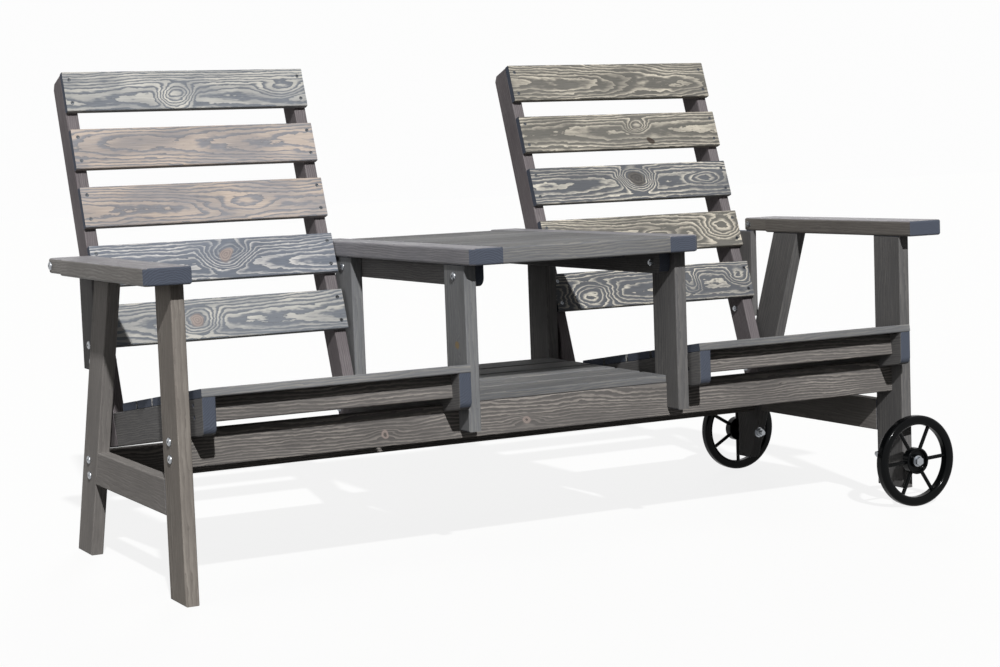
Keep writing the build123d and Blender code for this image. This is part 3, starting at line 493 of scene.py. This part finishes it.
class BENCH_OT_frame_timber(bpy.types.Operator):
    """Dress the legs, rails, beams, posts, stiles, bearers and armrests"""

    bl_idname = "bench.frame_timber"
    bl_label = "Frame timber"

    def execute(self, context):
        timber = context.scene.bench_timber
        plain = Tone(timber.frame_glaze, timber.frame_late, 0.15, 0.75)
        lined = Tone(timber.beam_glaze, timber.beam_late, 0.35, 0.7)
        brown, rail, upright, dim, rim, smooth = (
            plain._replace(glaze=glaze, late=late) for glaze, late in (
                (timber.leg_glaze, timber.leg_late),
                (timber.rail_glaze, timber.rail_late),
                (timber.post_glaze, timber.post_late),
                (timber.stile_glaze, timber.stile_late),
                (timber.edge_glaze, timber.edge_late),
                (timber.arm_glaze, timber.arm_late),
            )
        )
        sound, grey, resin = timber.knot_pink, timber.knot_grey, timber.knot_gold
        pair = {"boards": 2, "gang": THROUGH, "width": BOARD_T}
        # Armrests: a smoother glaze, and tops painted paler as painted sheen
        arm = {"rough": ARM_ROUGH, "painted_top_sheen": PAINTED_TOP_SHEEN}
        # Nodes, grain, face, tone, and what differs from a plain board
        rows = [
            (("left_front_leg",), Z, -X, brown, {}),
            (("right_front_leg", "right_front_post", "right_rear_post"), Z, -X, plain, {}),
            (("left_rear_post",), Z, -X, upright, {}),
            (("left_front_post",), Z, -X, upright, {
                "eyes": [(4, 0, 40, 24, 3)], "knots": [(4, 0, 11, resin)],
            }),
            (("left_rear_leg",), LEG_UP, -X, rail, {}),
            (("right_rear_leg",), LEG_UP, -X, plain, {}),
            (("left_side_rail", "right_side_rail"), Y, -X, rail, {}),
            (("front_beam",), X, -Y, lined, {
                "eyes": [(-112, -15, 60, 20, 1.6), (-451, -8, 50, 18, 1.4)],
                "knots": [(-112, -15, 12, sound), (-112, -15, 4, grey),
                          (-451, -8, 9, sound), (-451, -8, 4, grey)],
            }),
            (("rear_beam",), X, -Y, lined, {}),
            (("seat_cross_rails",), X, -SEAT_DOWN, lined, {}),
            (("left_armrest", "right_armrest"), Y, Z, smooth, {"pith": (6, -40), **arm}),
            (("left_table_edge_board", "right_table_edge_board"), Y, Z, rim, {
                "pith": (6, -40), "rough": EDGE_ROUGH,
            }),
            (("arm_end_blocks",), Y, Z, smooth, {"boards": 2, "width": BOARD_W, **arm}),
            (("left_back_stiles", "right_back_stiles"), BACK_UP, X, dim, pair),
            (("left_seat_rails", "right_seat_rails"), SEAT_DOWN, X, plain, pair),
            (("table_bearers", "deck_bearers"), Y, X, plain, pair),
            (("table_battens",), Y, Z, plain, {"boards": 2, "width": BATTEN_W}),
            (("arm_cleats",), Z, X, plain, {"boards": 2, "gang": THROUGH, "width": CLEAT_T}),
        ]
        seed = 40
        for names, grain, face, tone, look in rows:
            for node in names:
                glazed_pine(node, timber, grain, face, tone, seed, **look)
                seed += 1
        return {"FINISHED"}


class BENCH_OT_fasteners(bpy.types.Operator):
    """Dress the bolts, nuts, washers and screws, and the dowels inside the joints"""

    bl_idname = "bench.fasteners"
    bl_label = "Bolts, screws and dowels"

    def execute(self, context):
        fittings = context.scene.bench_fittings
        # Zinc plated steel: grey metal with a soft, slightly cloudy shine; on the screws let into the boards
        # the zinc is painted darker, as painted shade of their countersinks and painted reflection of darker
        # surroundings
        finishes = {
            "zinc_plated_steel": (fittings.zinc, (
                "arm_end_bolts", "axle_bolts", "axle_nuts", "axle_washers", "barrel_nuts", "cleat_bolts",
                "frame_bolts", "hex_nuts", "post_bolts", "seat_bolts", "seat_spacers",
            )),
            "shade_darkened_zinc_screws": (fittings.shade_darkened_zinc, (
                "back_slat_screws", "post_screws", "seat_frame_screws", "seat_slat_screws",
                "table_and_deck_screws",
            )),
        }
        for name, (plating, nodes) in finishes.items():
            zinc, tree = new_material(name)
            coords = add(tree, "ShaderNodeTexCoord").outputs["Object"]
            cloud = add(tree, "ShaderNodeTexNoise", {
                "Vector": coords, "Scale": ZINC_CLOUDS, "Detail": 3.0,
            }).outputs[0]
            rough = add(tree, "ShaderNodeMapRange", {
                "Value": cloud, "From Min": 0.3, "From Max": 0.7, "To Min": 0.22, "To Max": 0.42,
            }).outputs[0]
            shade = add(tree, "ShaderNodeMapRange", {
                "Value": cloud, "From Min": 0.3, "From Max": 0.7, "To Min": 0.88, "To Max": 1.05,
            }).outputs[0]
            metal = add(tree, "ShaderNodeVectorMath", {0: plating, "Scale": shade}, operation="SCALE")
            shader = add(tree, "ShaderNodeBsdfPrincipled", {
                "Base Color": metal.outputs[0], "Roughness": rough, "Metallic": 1.0,
            })
            add(tree, "ShaderNodeOutputMaterial", {"Surface": shader.outputs[0]})
            for node in nodes:
                dress(node, zinc)

        # Beech, turned and left bare: even pale brown with short flecks
        beech, tree = new_material("turned_beech")
        coords = add(tree, "ShaderNodeTexCoord").outputs["Object"]
        fleck = add(tree, "ShaderNodeTexNoise", {
            "Vector": coords, "Scale": BEECH_FLECKS, "Detail": 2.0,
        }).outputs[0]
        shade = add(tree, "ShaderNodeMapRange", {
            "Value": fleck, "From Min": 0.3, "From Max": 0.7, "To Min": 0.85, "To Max": 1.1,
        }).outputs[0]
        brown = add(tree, "ShaderNodeVectorMath", {0: fittings.beech, "Scale": shade}, operation="SCALE")
        shader = add(tree, "ShaderNodeBsdfPrincipled", {"Base Color": brown.outputs[0], "Roughness": 0.6})
        add(tree, "ShaderNodeOutputMaterial", {"Surface": shader.outputs[0]})
        dress("dowels", beech)
        return {"FINISHED"}


class BENCH_OT_wheels(bpy.types.Operator):
    """Dress the two moulded wheels"""

    bl_idname = "bench.wheels"
    bl_label = "Wheels"

    def execute(self, context):
        fittings = context.scene.bench_fittings
        # Moulded black nylon: near black, satin, with a faint orange peel from the mould
        nylon, tree = new_material("moulded_black_nylon")
        coords = add(tree, "ShaderNodeTexCoord").outputs["Object"]
        peel = add(tree, "ShaderNodeTexNoise", {
            "Vector": coords, "Scale": ORANGE_PEEL, "Detail": 2.0,
        }).outputs[0]
        rough = add(tree, "ShaderNodeMapRange", {
            "Value": peel, "From Min": 0.3, "From Max": 0.7, "To Min": 0.12, "To Max": 0.2,
        }).outputs[0]
        bump = add(tree, "ShaderNodeBump", {
            "Height": peel, "Strength": 0.15, "Distance": 0.3 * MM,
        }).outputs[0]
        shader = add(tree, "ShaderNodeBsdfPrincipled", {
            "Base Color": (*fittings.plastic, 1), "Roughness": rough, "Normal": bump, "IOR": 1.5,
            "Specular IOR Level": 0.08,
        })
        add(tree, "ShaderNodeOutputMaterial", {"Surface": shader.outputs[0]})
        for node in ("front_wheel", "rear_wheel"):
            dress(node, nylon)
        return {"FINISHED"}


def backdrop_rays(tree):
    """1 for a ray that shows the backdrop, also in gloss or through glass, and 0 for one that lights."""
    path = add(tree, "ShaderNodeLightPath").outputs
    shown = path["Is Camera Ray"]
    for ray in ("Is Glossy Ray", "Is Transmission Ray"):
        shown = add(tree, "ShaderNodeMath", {0: shown, 1: path[ray]}, operation="MAXIMUM").outputs[0]
    return shown


class BENCH_OT_stage(bpy.types.Operator):
    """Set up the floor, the light and the camera"""

    bl_idname = "bench.stage"
    bl_label = "Floor, light and camera"

    def execute(self, context):
        scene = context.scene
        stage = scene.bench_stage
        scene.view_settings.view_transform = "Standard"

        # Pale floor: white to the eye, with the bench's shadow, and dim in the light that it throws back
        material, tree = new_material("pale_floor")
        shown = backdrop_rays(tree)
        share = add(tree, "ShaderNodeMath", {0: shown, 1: FLOOR_GLOW}, operation="MULTIPLY").outputs[0]
        pale = add(tree, "ShaderNodeMix", {
            "Factor": shown, "A": (*stage.bounce, 1), "B": (*stage.floor, 1),
        }, data_type="RGBA").outputs["Result"]
        matt = add(tree, "ShaderNodeBsdfDiffuse", {"Color": pale}).outputs[0]
        white = add(tree, "ShaderNodeEmission", {"Color": (1, 1, 1, 1), "Strength": 1.0}).outputs[0]
        mixed = add(tree, "ShaderNodeMixShader", {0: share, 1: matt, 2: white}).outputs[0]
        add(tree, "ShaderNodeOutputMaterial", {"Surface": mixed})
        bpy.ops.mesh.primitive_plane_add(size=FLOOR_SIZE, location=(0, 0, 0))
        floor = context.active_object
        floor.name = "floor"
        floor.data.materials.append(material)

        world = bpy.data.worlds.new("white_room")
        scene.world = world
        world.use_nodes = True
        tree = world.node_tree
        tree.nodes.clear()
        glow = add(tree, "ShaderNodeMapRange", {
            "Value": backdrop_rays(tree), "To Min": stage.sky, "To Max": ROOM_WHITE,
        }).outputs[0]
        room = add(tree, "ShaderNodeBackground", {"Color": (1, 1, 1, 1), "Strength": glow}).outputs[0]
        add(tree, "ShaderNodeOutputWorld", {"Surface": room})

        # The lamps behind and on the left only brighten: their glare on the table would hide the planks
        for name, energy, spread, towards, glare in (
            ("key", stage.sun, stage.sun_spread, stage.sun_from, True),
            ("fill", stage.fill, stage.fill_spread, stage.fill_from, False),
            ("side", stage.side, stage.side_spread, stage.side_from, False),
        ):
            lamp = bpy.data.objects.new(name, bpy.data.lights.new(name, "SUN"))
            lamp.data.energy = energy
            lamp.data.angle = spread
            lamp.visible_glossy = glare
            lamp.rotation_euler = Vector(towards).to_track_quat("Z", "Y").to_euler()
            scene.collection.objects.link(lamp)

        camera = bpy.data.objects.new("camera", bpy.data.cameras.new("camera"))
        scene.collection.objects.link(camera)
        level = math.cos(stage.tilt)
        ahead = Vector((math.sin(stage.yaw) * level, math.cos(stage.yaw) * level, math.sin(stage.tilt)))
        right = Vector((math.cos(stage.yaw), -math.sin(stage.yaw), 0))
        up = right.cross(ahead)
        turned_right = math.cos(stage.roll) * right + math.sin(stage.roll) * up
        turned_up = math.cos(stage.roll) * up - math.sin(stage.roll) * right
        turn = Matrix((turned_right, turned_up, -ahead)).transposed().to_4x4()
        camera.matrix_world = Matrix.Translation(stage.eye) @ turn
        camera.data.sensor_width = SENSOR
        camera.data.lens = stage.lens
        camera.data.clip_end = FAR
        scene.camera = camera
        return {"FINISHED"}


PIECES = (
    BENCH_OT_back_slats, BENCH_OT_flat_boards, BENCH_OT_frame_timber, BENCH_OT_fasteners, BENCH_OT_wheels,
    BENCH_OT_stage,
)


class BENCH_PT_sidebar(bpy.types.Panel):
    """The bench's pieces, in the order in which they are dressed"""

    bl_idname = "BENCH_PT_sidebar"
    bl_label = "Garden bench"
    bl_space_type = "VIEW_3D"
    bl_region_type = "UI"
    bl_category = "Bench"

    def draw(self, context):
        for piece in PIECES:
            self.layout.operator(piece.bl_idname)


CLASSES = (BenchTimber, BenchFittings, BenchStage, *PIECES, BENCH_PT_sidebar)
SETTINGS = {"bench_timber": BenchTimber, "bench_fittings": BenchFittings, "bench_stage": BenchStage}


def register():
    for made in CLASSES:
        bpy.utils.register_class(made)
    for name, group in SETTINGS.items():
        setattr(bpy.types.Scene, name, bpy.props.PointerProperty(type=group))


def unregister():
    for name in SETTINGS:
        delattr(bpy.types.Scene, name)
    for made in reversed(CLASSES):
        bpy.utils.unregister_class(made)


def main():
    register()
    bpy.ops.bench.back_slats()
    bpy.ops.bench.flat_boards()
    bpy.ops.bench.frame_timber()
    bpy.ops.bench.fasteners()
    bpy.ops.bench.wheels()
    bpy.ops.bench.stage()


if __name__ == "__main__":
    main()
